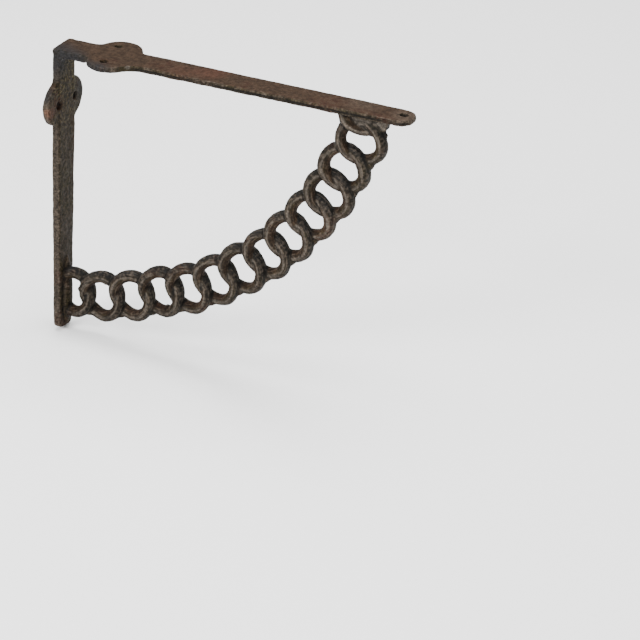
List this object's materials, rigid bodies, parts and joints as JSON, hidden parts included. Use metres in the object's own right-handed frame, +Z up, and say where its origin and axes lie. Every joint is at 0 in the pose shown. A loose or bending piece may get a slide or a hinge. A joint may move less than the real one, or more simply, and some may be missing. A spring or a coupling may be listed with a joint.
{
  "type": "ornate cast iron shelf bracket",
  "caption": "Right-angled cast iron shelf bracket, braced by an arc of interlocked oval rings, with screw lugs on both bars.",
  "frame": {"origin": "on the wall face of the leg, midway between the two wall screws", "axes": "+X out from the wall along the shelf arm, +Z up, +Y across the bars"},
  "size_m": [0.24, 0.0456, 0.198],
  "materials": {
    "cast_iron": "antique brown-black, rough sand-cast skin with rust-brown patches and rubbed edges"
  },
  "bodies": {
    "root": {"bracket": "cast_iron"}
  },
  "joints": []
}
